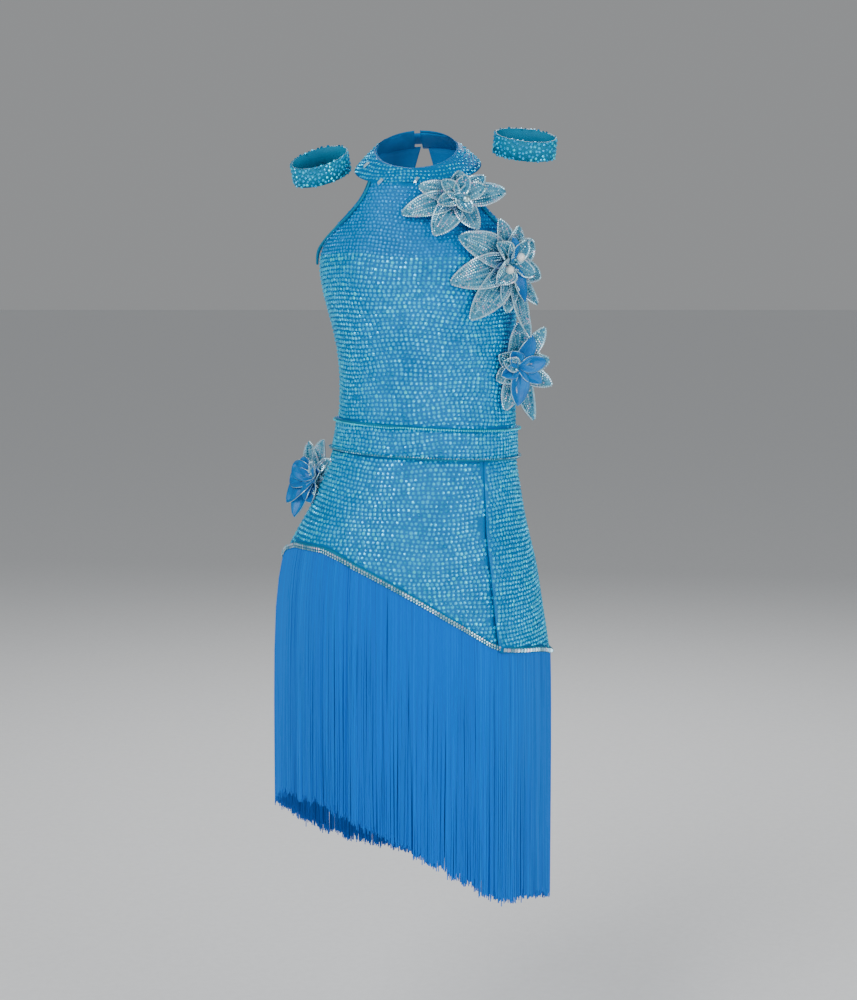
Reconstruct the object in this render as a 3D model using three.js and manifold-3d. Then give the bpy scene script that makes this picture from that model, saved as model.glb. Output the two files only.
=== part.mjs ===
// A Latin dance dress built on a leotard base: halter bodice, built-in brief, stoned belt, diagonal skirt
// with a swinging fringe, four petal flowers and a pair of wrist cuffs.
// Millimetres. +X is the wearer's left, -Y the front and +Z up. The origin is the centre of the waist.
import * as THREE from "three";
import { mergeVertices } from "three/addons/utils/BufferGeometryUtils.js";
import Module from "manifold-3d";

const solids = await Module();
solids.setup();

// ---------------------------------------------------------------- driving dimensions

// Cloth and how closely the layers lie.
const fabric = 1.2; // stretch fabric with its stones
const lining = 0.9; // power mesh and other inner cloth
const layerGap = 0.75; // between two layers that lie on each other
const innerGap = 0.95; // between the stoned cloth and what is sewn inside it
const seamGap = 0.5; // between two panels that meet edge to edge

// Heights over the waist.
const bustHeight = 185;
const armholeHeight = 217;
const collarHeight = 329; // lower edge of the collar at the side of the neck

// Collar.
const collarDip = 24; // how far both edges fall from the side of the neck to the throat
const collarRise = 18; // height of the upper edge over the lower one
const collarTopHalf = 50; // half width of the upper edge
const collarTopDepth = 50;
const collarTopSway = -12;
const collarRoll = 0.05; // the collar stands this much higher per millimetre towards the wearer's left
const collarOpening = THREE.MathUtils.degToRad(4); // half the gap at the back

// Waist and belt.
const beltWidth = 38;
const beltThickness = 2;
const waistTilt = 0.055; // the waist line drops this much per millimetre towards the wearer's left
const seamDrop = 14; // the bodice meets the skirt this far under the waist line
const elasticWidth = 25;
const elasticThickness = 1.2;
const pipingRadius = 1.3;

// Back opening.
const zipCentre = -3;
const zipLength = 150;
const zipStart = 5; // above the belt's upper edge
const zipSlot = 4.2; // half the slot between the back panels
const coilWidth = 4.4;
const coilThickness = 2;
const tapeWidth = 9;
const tapeThickness = 0.6;
const sliderLength = 11;
const sliderWall = 0.9;
const sliderPlay = 0.35;
const pullLength = 24;
const pullWidth = 5;
const pullThickness = 1.4;
const keyholeHalf = 30; // half width of the teardrop opening over the zip

// Skirt and hem.
const trimWidth = 7;
const trimThickness = 2.2;
const headerWidth = 11; // knitted header tape of the fringe
const headerThickness = 1.1;

// Fringe: one flat bundle of strands to each stretch of the hem.
const bundles = 12;
const fringeLength = 305;
const fringeThickness = 3;
const fringeNeck = 0.3; // thickness where the strands leave the header
const fringeShoulder = 8; // length over which they fill out to full thickness
const hangGap = 0.3; // between the header and the line that a bundle swings about
const bundleGap = 0.7;

// Brief.
const sideSeam = 72;
const briefRise = 190; // waist seam to the gusset
const gussetHalf = 33;
const gussetSag = 8;
const legElastic = 1.4; // radius

// Edge binding round the armholes.
const bindingRadius = 1.5;

// Bust cups.
const cupRadius = 52;
const cupThickness = 6;
const cupEdge = 1.6;
const cupAngle = THREE.MathUtils.degToRad(33);
const bustFullness = 6;

// Press studs.
const studRadius = 2.4;
const studHeight = 1.2;
const socketRim = 1.5;
const tabThickness = 1.2;

// Cuffs.
const cuffHalfLong = 38;
const cuffHalfShort = 27;
const cuffWidth = 24;
const cuffShell = 2.4;

// ---------------------------------------------------------------- the form that the dress is cut to

// Sections from the fringe's top to over the collar: sideways sway, half width, depth before and behind.
const body = [
  { z: -300, sway: -18, half: 169, front: 129, back: 135 },
  { z: -268, sway: -18, half: 168, front: 128, back: 134 },
  { z: -198, sway: -22, half: 161, front: 122, back: 130 },
  { z: -149, sway: -21, half: 153, front: 116, back: 124 },
  { z: -110, sway: -17, half: 138, front: 108, back: 117 },
  { z: -75, sway: -10, half: 125, front: 100, back: 108 },
  { z: -22, sway: -4, half: 111, front: 88, back: 86 },
  { z: 0, sway: -1, half: 107.5, front: 85, back: 83 },
  { z: 46, sway: 1, half: 105, front: 84, back: 84.1 },
  { z: 71, sway: 0, half: 104, front: 85, back: 85.3 },
  { z: 105, sway: -1, half: 105, front: 88, back: 86.9 },
  { z: 143, sway: -4, half: 111, front: 97, back: 88.6 },
  { z: bustHeight, sway: -8, half: 118, front: 103, back: 90.6 },
  { z: armholeHeight, sway: -9, half: 120.5, front: 98, back: 92 },
  { z: armholeHeight + 20, sway: -9, half: 114, front: 91, back: 91 },
  { z: armholeHeight + 50, sway: -9, half: 99, front: 81, back: 88 },
  { z: armholeHeight + 80, sway: -10, half: 83, front: 73, back: 83 },
  { z: collarHeight, sway: -10, half: 74, front: 67, back: 77 },
  { z: collarHeight + 40, sway: -10, half: 70, front: 64, back: 73 },
];

// Sections of the hips under the skirt, down to the crotch.
const hips = [
  { z: -seamDrop - briefRise - 10, sway: -6, half: 96, front: 24, back: 30 },
  { z: -seamDrop - briefRise, sway: -6, half: 102, front: 36, back: 44 },
  { z: -180, sway: -6, half: 114, front: 68, back: 82 },
  { z: -150, sway: -6, half: 120, front: 84, back: 100 },
  { z: -120, sway: -6, half: 121, front: 90, back: 104 },
  { z: -75, sway: -6, half: 115, front: 90, back: 97 },
  { z: 0, sway: -1, half: 104, front: 82, back: 80 },
];

// How far below the waist the hem hangs, round the skirt from the back, past the wearer's right, the front
// and the left.
const hemDrop = [
  { angle: -180, drop: 262 },
  { angle: -150, drop: 234 },
  { angle: -120, drop: 186 },
  { angle: -90, drop: 146 },
  { angle: -67.5, drop: 130 },
  { angle: -45, drop: 131 },
  { angle: -22.5, drop: 150 },
  { angle: 0, drop: 180 },
  { angle: 22.5, drop: 219 },
  { angle: 40, drop: 248 },
  { angle: 65, drop: 256 },
  { angle: 90, drop: 268 },
  { angle: 120, drop: 270 },
  { angle: 150, drop: 269 },
  { angle: 180, drop: 262 },
];

// The halter's cut: the armhole's edge, in degrees round from the front, and from the back.
const armholeFront = [
  { z: armholeHeight - 6, angle: 90 },
  { z: armholeHeight + 6, angle: 86 },
  { z: armholeHeight + 21, angle: 76 },
  { z: armholeHeight + 35, angle: 66 },
  { z: armholeHeight + 50, angle: 56 },
  { z: armholeHeight + 80, angle: 46 },
  { z: armholeHeight + 120, angle: 44 },
];
const armholeBack = [
  { z: armholeHeight - 6, angle: 90 },
  { z: armholeHeight + 12, angle: 82 },
  { z: armholeHeight + 40, angle: 66 },
  { z: armholeHeight + 80, angle: 52 },
  { z: armholeHeight + 150, angle: 44 },
];

// ---------------------------------------------------------------- smooth tables and places on a form

// A smooth curve through a table's points that never overshoots them.
function smooth(table, key, value, at) {
  const last = table.length - 1;
  if (at <= table[0][key]) return table[0][value];
  if (at >= table[last][key]) return table[last][value];
  const i = table.findIndex((row) => row[key] > at) - 1;
  const step = (k) => (table[k + 1][value] - table[k][value]) / (table[k + 1][key] - table[k][key]);
  const slope = (k) => {
    if (k <= 0) return step(0);
    if (k >= last) return step(last - 1);
    const [before, after] = [step(k - 1), step(k)];
    return before * after <= 0 ? 0 : (2 * before * after) / (before + after);
  };
  const width = table[i + 1][key] - table[i][key];
  const t = (at - table[i][key]) / width;
  const [a, b] = [table[i][value], table[i + 1][value]];
  const rise = t * t * (3 - 2 * t);
  return a + (b - a) * rise + width * (slope(i) * t * (1 - t) ** 2 - slope(i + 1) * t * t * (1 - t));
}

const degrees = THREE.MathUtils.degToRad;
const mix = THREE.MathUtils.lerp;
const clamp = THREE.MathUtils.clamp;

// A point of a form: angle 0 is the front, a quarter turn is the wearer's left, and offset is outwards.
function onForm(form, angle, z, offset) {
  const half = smooth(form, "z", "half", z) + offset;
  const deep = smooth(form, "z", Math.cos(angle) > 0 ? "front" : "back", z) + offset;
  const bump = form === body ? bustBump(angle, z) : 0;
  const x = smooth(form, "z", "sway", z) + half * Math.sin(angle);
  return new THREE.Vector3(x, -deep * Math.cos(angle) - bump, z);
}

// The bust stands out from the torso's oval section on both sides of the centre.
function bustBump(angle, z) {
  const across = (Math.abs(angle) - cupAngle) / degrees(17);
  const up = (z - bustHeight + 8) / 36;
  return Math.abs(angle) < Math.PI / 2 ? bustFullness * Math.exp(-across * across - up * up) : 0;
}

// A frame that stands on a form: z outwards, x towards the wearer's left as seen from outside, y up.
function standing(angle, z, offset) {
  const here = onForm(body, angle, z, offset);
  const across = onForm(body, angle + 0.02, z, offset).sub(here).normalize();
  const up = onForm(body, angle, z + 2, offset).sub(here);
  const out = across.clone().cross(up).normalize();
  const frame = new THREE.Group();
  frame.position.copy(here);
  frame.quaternion.setFromRotationMatrix(new THREE.Matrix4().makeBasis(across, out.clone().cross(across), out));
  return frame;
}

// ---------------------------------------------------------------- lines that panels share

const waistLine = (angle) => -waistTilt * smooth(body, "z", "half", 0) * Math.sin(angle);
const waistSeam = (angle) => waistLine(angle) - seamDrop;
const turned = (angle) => THREE.MathUtils.euclideanModulo(THREE.MathUtils.radToDeg(angle) + 180, 360) - 180;
const hemLine = (angle) => -smooth(hemDrop, "angle", "drop", turned(angle));
const collarLift = collarRoll * smooth(body, "z", "half", collarHeight);
const collarLower = (angle) => collarHeight - collarDip * Math.cos(angle) + collarLift * Math.sin(angle);
const frontEdge = (z) => degrees(smooth(armholeFront, "z", "angle", z));
const backEdge = (z) => Math.PI - degrees(smooth(armholeBack, "z", "angle", z));
const beltTop = beltWidth / 2;
const zipBottom = beltTop + zipStart;
const zipTop = zipBottom + zipLength;

// Half the gap between the back panels: a seam at the waist, the zip's slot, then the teardrop keyhole.
function backGap(z) {
  if (z < zipBottom - 1) return seamGap / 2;
  if (z < zipTop) return zipSlot;
  const top = collarHeight + collarDip;
  const t = clamp((z - zipTop) / (top - zipTop), 0, 1);
  return zipSlot + (keyholeHalf - zipSlot) * Math.sin(Math.PI * t ** 0.8) ** 1.3;
}

// ---------------------------------------------------------------- solids bent from plain shapes

// A slab of cloth: u runs round to the wearer's left and v up, both 0 to 1, and the last value is 0 inside
// and 1 outside.
function bent(columns, rows, place) {
  const geometry = new THREE.BoxGeometry(1, 1, 1, columns, rows, 1).translate(0.5, 0.5, 0.5);
  const points = geometry.attributes.position;
  for (let i = 0; i < points.count; i++) {
    const p = place(points.getX(i), points.getY(i), points.getZ(i));
    points.setXYZ(i, p.x, p.y, p.z);
  }
  geometry.computeVertexNormals();
  return geometry;
}

// A band round a form between two lines, from one angle to another.
function band(form, columns, rows, from, to, inner, outer, low, high) {
  return bent(columns, rows, (u, v, w) => {
    const angle = mix(from, to, u);
    return onForm(form, angle, mix(low(angle), high(angle), v), mix(inner, outer, w));
  });
}

// A round trim along a run of points.
function roundTrim(points, radius, steps) {
  const curve = new THREE.CatmullRomCurve3(points);
  const section = new THREE.Shape().absarc(0, 0, radius, 0, 2 * Math.PI);
  const options = { extrudePath: curve, steps, curveSegments: 3, bevelEnabled: false };
  return new THREE.ExtrudeGeometry(section, options);
}

// Solids joined into one.
function joined(...geometries) {
  const parts = geometries.map((geometry) => {
    const bare = geometry.clone();
    Object.keys(bare.attributes).forEach((name) => name !== "position" && bare.deleteAttribute(name));
    const merged = mergeVertices(bare, 1e-4);
    const triVerts = new Uint32Array(merged.index.array);
    const vertProperties = merged.attributes.position.array;
    return new solids.Manifold(new solids.Mesh({ numProp: 3, vertProperties, triVerts }));
  });
  const mesh = solids.Manifold.union(parts).getMesh();
  const geometry = new THREE.BufferGeometry();
  geometry.setAttribute("position", new THREE.BufferAttribute(new Float32Array(mesh.vertProperties), 3));
  geometry.setIndex(new THREE.BufferAttribute(new Uint32Array(mesh.triVerts), 1));
  geometry.computeVertexNormals();
  return geometry;
}

// ---------------------------------------------------------------- materials and the scene's group

const material = (color, roughness, metalness = 0) =>
  new THREE.MeshStandardMaterial({ color, roughness, metalness });
const stonedCloth = () => material(0x0a9bd0, 0.35, 0.2);
const plainCloth = () => material(0x0877c4, 0.7);
const yarn = () => material(0x0573e0, 0.55);
const stones = () => material(0xaadceb, 0.15, 0.3);
const petalFinish = () => material(0x8fc9dd, 0.4, 0.2);
const pearl = () => material(0xe6f2f4, 0.2);
const foam = () => material(0x2b86c9, 0.8);
const nickel = () => material(0xb9bec4, 0.3, 1);

const dress = new THREE.Group();

function add(name, geometry, finish, parent = dress) {
  const mesh = new THREE.Mesh(geometry, finish);
  mesh.name = name;
  parent.add(mesh);
  return mesh;
}

// ---------------------------------------------------------------- bodice

// The front panel runs from side seam to side seam and up to the collar, with the halter's cut at its sides.
const frontRows = 12;
const liningRows = 8; // the lining stops at the armholes
function bodiceFront(inner, outer, rows) {
  return bent(24, rows, (u, share, w) => {
    const v = (share * rows) / frontRows;
    const row = mix(-seamDrop, collarLower(0), v);
    const reach = frontEdge(row) - seamGap / smooth(body, "z", "half", row);
    const angle = mix(-reach, reach, u);
    const low = waistSeam(angle) + seamGap;
    const high = collarLower(angle) - seamGap;
    return onForm(body, angle, mix(low, high, v), mix(inner, outer, w));
  });
}

// A back panel runs from the side seam to the zip and keyhole. Its side is 1 on the wearer's left and -1 on
// the right.
function bodiceBack(side) {
  const middle = [0.25, 0.5, 0.75, 1].map((t) => mix(zipBottom, zipTop - 0.01, t));
  const rows = [-seamDrop, 0, zipBottom - 1.01, zipBottom - 0.99, ...middle];
  const keyhole = [0.14, 0.3, 0.46, 0.62, 0.8, 1].map((t) => mix(zipTop, collarLower(Math.PI), t));
  const heights = [...rows, ...keyhole];
  return bent(8, heights.length - 1, (u, v, w) => {
    const row = heights[Math.round(v * (heights.length - 1))];
    const outerAngle = backEdge(row) + seamGap / smooth(body, "z", "half", row);
    const centre = zipCentre + side * backGap(row) - smooth(body, "z", "sway", row);
    const innerAngle = Math.PI - Math.asin((side * centre) / smooth(body, "z", "half", row));
    const angle = side * mix(outerAngle, innerAngle, side > 0 ? u : 1 - u);
    const share = (row + seamDrop) / (collarLower(Math.PI) + seamDrop);
    const low = waistSeam(angle) + seamGap;
    const high = collarLower(angle) - seamGap;
    return onForm(body, angle, mix(low, high, share), mix(0, fabric, w));
  });
}

add("bodice_front", bodiceFront(0, fabric, frontRows), stonedCloth());
add("bodice_lining", bodiceFront(-innerGap - lining, -innerGap, liningRows), plainCloth());
add("bodice_back_left", bodiceBack(1), stonedCloth());
add("bodice_back_right", bodiceBack(-1), stonedCloth());

// The binding runs outside the cloth round an armhole: from the collar in front, under the arm, up behind.
function armholeBinding(side) {
  const offset = fabric + 1.3 * innerGap + bindingRadius;
  const points = [];
  const inset = (z) => 3 / smooth(body, "z", "half", z);
  const top = collarHeight - 22;
  const bottom = armholeHeight - 6;
  for (let i = 0; i <= 7; i++) {
    const z = mix(top, bottom, i / 7);
    points.push(onForm(body, side * (frontEdge(z) - inset(z)), z, offset));
  }
  points.push(onForm(body, (side * Math.PI) / 2, bottom - 5, offset));
  for (let i = 0; i <= 8; i++) {
    const z = mix(bottom, collarHeight - 6, i / 8);
    points.push(onForm(body, side * (backEdge(z) + inset(z)), z, offset));
  }
  return roundTrim(points, bindingRadius, 30);
}

add("armhole_binding_left", armholeBinding(1), stonedCloth());
add("armhole_binding_right", armholeBinding(-1), stonedCloth());

// A disc that lies along the form; depth gives its thickness from its middle (0) to its edge (1).
function layingDisc(angle, z, radius, outside, depth) {
  const geometry = new THREE.SphereGeometry(1, 16, 6).rotateX(Math.PI / 2);
  const points = geometry.attributes.position;
  const girth = smooth(body, "z", "half", z);
  for (let i = 0; i < points.count; i++) {
    const [across, up, out] = [points.getX(i), points.getY(i), points.getZ(i)];
    const thick = depth(Math.min(1, Math.hypot(across, up)));
    const at = angle + (across * radius) / girth;
    const p = onForm(body, at, z + up * radius, outside - (thick * (1 - out)) / 2);
    points.setXYZ(i, p.x, p.y, p.z);
  }
  return geometry;
}

const cupDepth = (spread) => mix(cupThickness, cupEdge, spread * spread);
const cupOutside = -2 * innerGap - lining - 0.6;
add("bust_cup_left", layingDisc(cupAngle, bustHeight - 8, cupRadius, cupOutside, cupDepth), foam());
add("bust_cup_right", layingDisc(-cupAngle, bustHeight - 8, cupRadius, cupOutside, cupDepth), foam());

// ---------------------------------------------------------------- collar

// A place on the collar between its lower edge (0) and its upper edge (1).
function onCollar(angle, v, offset) {
  const low = onForm(body, angle, collarLower(angle), offset);
  const roll = collarRoll * collarTopHalf * Math.sin(angle);
  const top = new THREE.Vector3(
    collarTopSway + (collarTopHalf + offset) * Math.sin(angle),
    -(collarTopDepth + offset) * Math.cos(angle),
    collarHeight + collarRise - collarDip * Math.cos(angle) + roll,
  );
  return low.lerp(top, v);
}

function collarRing(inner, outer) {
  return bent(32, 2, (u, v, w) => {
    const angle = mix(-Math.PI + collarOpening, Math.PI - collarOpening, u);
    return onCollar(angle, v, mix(inner, outer, w));
  });
}

add("collar_band", collarRing(0, fabric), stonedCloth());
add("collar_lining", collarRing(-innerGap - lining, -innerGap), plainCloth());

// A tab laps a band's gap at the back. It starts on the band at u 0, its hinge end, and rises over a
// press stud.
function lapTab(half, place) {
  return bent(6, 1, (u, v, w) => {
    const lift = layerGap + (studHeight + layerGap) * Math.min(1, u * 3);
    return place(mix(Math.PI - half, Math.PI + half, u), mix(0.15, 0.85, v), lift + tabThickness * w);
  });
}

// The two halves of a press stud stand in the space between a band and its tab.
const stud = () => new THREE.CylinderGeometry(studRadius, studRadius, studHeight, 16).rotateX(Math.PI / 2);
function socket() {
  const inner = studRadius + layerGap;
  const outer = inner + socketRim;
  const [low, high] = [-studHeight / 2, studHeight / 2];
  const profile = [[inner, low], [outer, low], [outer, high], [inner, high], [inner, low]];
  return new THREE.LatheGeometry(profile.map(([x, y]) => new THREE.Vector2(x, y)), 16).rotateX(Math.PI / 2);
}

const collarTabHalf = degrees(15);
const collarTab = lapTab(collarTabHalf, (angle, v, lift) => onCollar(angle, v, fabric + lift));
add("collar_tab", collarTab, stonedCloth());

function onCollarStud() {
  const angle = Math.PI + collarTabHalf * 0.62;
  const here = onCollar(angle, 0.5, fabric + layerGap + studHeight / 2);
  const across = onCollar(angle + 0.02, 0.5, fabric).sub(onCollar(angle, 0.5, fabric)).normalize();
  const up = onCollar(angle, 0.6, fabric).sub(onCollar(angle, 0.5, fabric));
  const out = across.clone().cross(up).normalize();
  const frame = new THREE.Group();
  frame.position.copy(here);
  frame.quaternion.setFromRotationMatrix(new THREE.Matrix4().makeBasis(across, out.clone().cross(across), out));
  dress.add(frame);
  return frame;
}
const collarStud = onCollarStud();
add("collar_stud", stud(), nickel(), collarStud);
add("collar_socket", socket(), nickel(), collarStud);

// ---------------------------------------------------------------- belt and waist

const beltInner = fabric + layerGap;
const beltOuter = beltInner + beltThickness;
const beltOpening = degrees(2.2);
const beltLow = (angle) => waistLine(angle) - beltWidth / 2;
const beltHigh = (angle) => waistLine(angle) + beltWidth / 2;

function waistBand(inner, outer, low, high) {
  return band(body, 40, 2, -Math.PI + beltOpening, Math.PI - beltOpening, inner, outer, low, high);
}

add("belt_band", waistBand(beltInner, beltOuter, beltLow, beltHigh), stonedCloth());
const elasticLow = (angle) => waistLine(angle) - elasticWidth / 2;
const elasticHigh = (angle) => waistLine(angle) + elasticWidth / 2;
const elasticOuter = -2 * innerGap - lining;
const elasticInner = elasticOuter - elasticThickness;
add("waist_elastic", waistBand(elasticInner, elasticOuter, elasticLow, elasticHigh), plainCloth());

// A row of stones on a fine cord along each edge of the belt.
function beltPiping(line, side) {
  const points = [];
  const reach = Math.PI - beltOpening - degrees(9);
  for (let i = 0; i <= 24; i++) {
    const angle = mix(-reach, reach, i / 24);
    const z = line(angle) - side * pipingRadius;
    points.push(onForm(body, angle, z, beltOuter + layerGap + pipingRadius));
  }
  return roundTrim(points, pipingRadius, 40);
}
add("belt_piping_upper", beltPiping(beltHigh, 1), stones());
add("belt_piping_lower", beltPiping(beltLow, -1), stones());

const beltTabHalf = degrees(8);
const beltTab = lapTab(beltTabHalf, (angle, v, lift) => {
  return onForm(body, angle, mix(beltLow(angle), beltHigh(angle), v), beltOuter + lift);
});
add("belt_tab", beltTab, stonedCloth());
const beltStud = standing(Math.PI + beltTabHalf * 0.62, 0, beltOuter + layerGap + studHeight / 2);
dress.add(beltStud);
add("belt_stud", stud(), nickel(), beltStud);
add("belt_socket", socket(), nickel(), beltStud);

// ---------------------------------------------------------------- zip

// The zip stands on the straight line of the centre back: z up along it and y outwards.
function zipLine() {
  const aside = (z) => (zipCentre - smooth(body, "z", "sway", z)) / smooth(body, "z", "half", z);
  const at = (z) => onForm(body, Math.PI - Math.asin(aside(z)), z, 0);
  const [low, high] = [at(zipBottom), at(zipTop)];
  const line = new THREE.Group();
  line.position.set(zipCentre, low.y, zipBottom);
  line.rotation.x = -Math.atan2(high.y - low.y, zipTop - zipBottom);
  dress.add(line);
  return line;
}
const zip = zipLine();
const coilOut = 0.6 + coilThickness / 2;
const box = (x, y, z, px, py, pz) => new THREE.BoxGeometry(x, y, z).translate(px, py, pz);

const tapeY = 0.6 - coilThickness / 2 - layerGap - tapeThickness / 2;
const tapeX = 0.15 + tapeWidth / 2;
const zipTape = (side) => box(tapeWidth, tapeThickness, zipLength, side * tapeX, tapeY, zipLength / 2);
add("zip_tape_left", zipTape(1), plainCloth(), zip);
add("zip_tape_right", zipTape(-1), plainCloth(), zip);
const coilLength = zipLength - 1;
add("zip_coil", box(coilWidth, coilThickness, coilLength, 0, 0.6, coilLength / 2), plainCloth(), zip);

// The slider is a channel that rides over the coil, with two lugs and a pin that carry the pull.
const sliderHalf = coilWidth / 2 + sliderPlay;
const plateY = coilOut + sliderPlay;
const eyeInner = 1.1;
const eyeOuter = 1.9;
const pinY = plateY + sliderWall + eyeOuter + 0.4;
const lugX = pullWidth / 2 + 0.3;
const sliderTop = zipLength - 2;
const sliderZ = sliderTop - sliderLength / 2;

function zipSlider() {
  const wallDepth = plateY - (tapeY + tapeThickness / 2) - sliderPlay;
  const wallX = sliderHalf + sliderWall / 2;
  const side = (s) => box(sliderWall, wallDepth, sliderLength, s * wallX, plateY - wallDepth / 2, 0);
  const plate = box(2 * (sliderHalf + sliderWall), sliderWall, sliderLength, 0, plateY + sliderWall / 2, 0);
  const lugHeight = pinY + 1.2 - plateY;
  const lug = (s) => box(0.8, lugHeight, 3, s * (lugX + 0.4), plateY + lugHeight / 2, sliderLength / 2 - 1.5);
  const pin = new THREE.CylinderGeometry(0.7, 0.7, 2 * lugX + 1, 12).rotateZ(Math.PI / 2);
  pin.translate(0, pinY, sliderLength / 2 - 1.5);
  return joined(side(1), side(-1), plate, lug(1), lug(-1), pin).translate(0, 0, sliderZ);
}
add("zip_slider", zipSlider(), nickel(), zip);

function zipPull() {
  const ring = new THREE.Shape().absarc(0, 0, eyeOuter, 0, 2 * Math.PI);
  ring.holes.push(new THREE.Path().absarc(0, 0, eyeInner, 0, 2 * Math.PI, true));
  const eye = new THREE.ExtrudeGeometry(ring, { depth: pullWidth, curveSegments: 8, bevelEnabled: false });
  eye.translate(0, 0, -pullWidth / 2).rotateY(Math.PI / 2);
  const length = pullLength - (eyeInner + eyeOuter) / 2;
  const tab = box(pullWidth, pullThickness, length, 0, 0, -(eyeInner + eyeOuter) / 2 - length / 2);
  return joined(eye, tab).translate(0, pinY, sliderZ + sliderLength / 2 - 1.5);
}
add("zip_pull", zipPull(), nickel(), zip);

// ---------------------------------------------------------------- skirt and hem

const foldAngle = degrees(40);
const backSeam = degrees(100);

// The rows of a skirt panel lie closer together towards the waist. Half a seam's gap is taken off each end,
// as an angle at the skirt's usual distance from its axis.
const skirtReach = 130;
const seamAngle = seamGap / 2 / skirtReach;
function skirtPanel(columns, from, to) {
  return bent(columns, 9, (u, v, w) => {
    const angle = mix(from + seamAngle, to - seamAngle, u);
    const z = mix(waistSeam(angle), hemLine(angle), (1 - v) ** 1.5);
    return onForm(body, angle, z, fabric * w);
  });
}
add("skirt_front", skirtPanel(22, -backSeam, foldAngle), stonedCloth());
add("skirt_side_drape", skirtPanel(10, foldAngle, backSeam), stonedCloth());
add("skirt_back", skirtPanel(24, backSeam, 2 * Math.PI - backSeam), stonedCloth());

// The stone chain lies on the hem's edge, outside the cloth.
const trimTop = (angle) => hemLine(angle) + trimWidth;
const trimInner = fabric + layerGap;
function hemTrim(start, end, columns) {
  const [from, to] = [start + seamAngle, end - seamAngle];
  return band(body, columns, 1, from, to, trimInner, trimInner + trimThickness, hemLine, trimTop);
}
add("hem_trim", hemTrim(backSeam - 2 * Math.PI, backSeam, 60), stones());

// The fringe hangs from a knitted header behind the hem.
const headerTop = (angle) => hemLine(angle) + headerWidth;
const headerInner = -innerGap - headerThickness;
function fringeHeader() {
  const [from, to] = [backSeam - 2 * Math.PI + seamAngle, backSeam - seamAngle];
  return band(body, 60, 1, from, to, headerInner, -innerGap, hemLine, headerTop);
}
add("fringe_header", fringeHeader(), plainCloth());

// ---------------------------------------------------------------- fringe

// The bundles are counted round from the fold at the wearer's left front, so that one seam lies at the fold.
const bundleStep = (2 * Math.PI) / bundles;
const bundleStart = (i) => foldAngle + i * bundleStep;
const hemReach = 150;

// A bundle is a flat slab that hangs straight down. Its top edge is the line that it swings about, close
// under the header's ends, and it thickens downwards so that it clears the header when it swings.
function fringeBundle(i) {
  const gapAngle = bundleGap / 2 / hemReach;
  const from = bundleStart(i) + gapAngle;
  const to = bundleStart(i + 1) - gapAngle;
  const edge = (angle) => onForm(body, angle, hemLine(angle), headerInner);
  const [start, end] = [edge(from), edge(to)];
  const along = end.clone().sub(start);
  const outwards = new THREE.Vector3(along.y, -along.x, 0).normalize();
  const levels = [0, fringeShoulder, fringeLength];
  return bent(2, levels.length - 1, (u, v, w) => {
    const step = Math.round((1 - v) * (levels.length - 1));
    const thick = step === 0 ? fringeNeck : fringeThickness;
    const place = start.clone().lerp(end, u).addScaledVector(outwards, thick * w);
    return place.setZ(place.z - hangGap - levels[step]);
  });
}
for (let i = 0; i < bundles; i++) {
  add(`fringe_${String(i + 1).padStart(2, "0")}`, fringeBundle(i), yarn());
}

// ---------------------------------------------------------------- brief

// The brief leaves the waist inside the elastic and follows the hips under the skirt.
function onBrief(angle, z, offset) {
  const waist = onForm(body, angle, z, elasticInner - layerGap - lining + offset);
  const hip = onForm(hips, angle, z, offset);
  const away = clamp((-seamDrop - z) / 55, 0, 1);
  return waist.lerp(hip, away * away * (3 - 2 * away));
}

const crotchZ = -seamDrop - briefRise;
const sideEndZ = -seamDrop - sideSeam;
const briefTop = -6;

// Half the angle that a panel spans at a height: to the side seam, then in along the leg to the gusset.
function legCut(z) {
  const gusset = Math.asin(gussetHalf / smooth(hips, "z", "half", crotchZ));
  if (z > sideEndZ) return Math.PI / 2 - 0.003;
  const t = (sideEndZ - z) / (sideEndZ - crotchZ);
  return mix(Math.PI / 2 - 0.003, gusset, Math.sin((t * Math.PI) / 2) ** 1.1);
}

function briefPanel(centre) {
  const heights = [briefTop, -14, -24, -45, -65, sideEndZ, -105, -125, -145, -165, -182, crotchZ].reverse();
  return bent(14, heights.length - 1, (u, v, w) => {
    const level = heights[Math.round(v * (heights.length - 1))];
    const angle = centre + mix(-legCut(level), legCut(level), u);
    const tilt = waistLine(angle) * clamp((level - sideEndZ) / (briefTop - sideEndZ), 0, 1);
    return onBrief(angle, level + tilt, lining * w);
  });
}
add("brief_front", briefPanel(0), plainCloth());
add("brief_back", briefPanel(Math.PI), plainCloth());

// The gusset is a saddle between the lower ends of the two panels.
function gusset() {
  return bent(6, 6, (u, v, w) => {
    const reach = legCut(crotchZ);
    const front = onBrief(mix(-reach, reach, u), crotchZ, 0);
    const back = onBrief(Math.PI - mix(-reach, reach, u), crotchZ, 0);
    const p = back.lerp(front, mix(0.01, 0.99, v));
    const sag = gussetSag * 4 * v * (1 - v);
    return p.setZ(crotchZ - seamGap - lining * w - sag);
  });
}
add("gusset", gusset(), plainCloth());

function legOpening(side) {
  const points = [];
  const inset = 0.035;
  const offset = lining + 1.2 * innerGap + legElastic;
  for (let i = 0; i <= 8; i++) {
    const z = mix(crotchZ + 6, sideEndZ + 4, i / 8);
    points.push(onBrief(side * Math.max(legCut(z) - inset, 0.1), z, offset));
  }
  for (let i = 8; i >= 0; i--) {
    const z = mix(crotchZ + 6, sideEndZ + 4, i / 8);
    points.push(onBrief(Math.PI - side * (legCut(z) - inset), z, offset));
  }
  return roundTrim(points, legElastic, 32);
}
add("leg_elastic_left", legOpening(1), plainCloth());
add("leg_elastic_right", legOpening(-1), plainCloth());

// ---------------------------------------------------------------- flowers

const discThickness = 1.5;
const discDepth = () => discThickness;
const petalThickness = 2;
const petalRows = 5;

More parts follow.
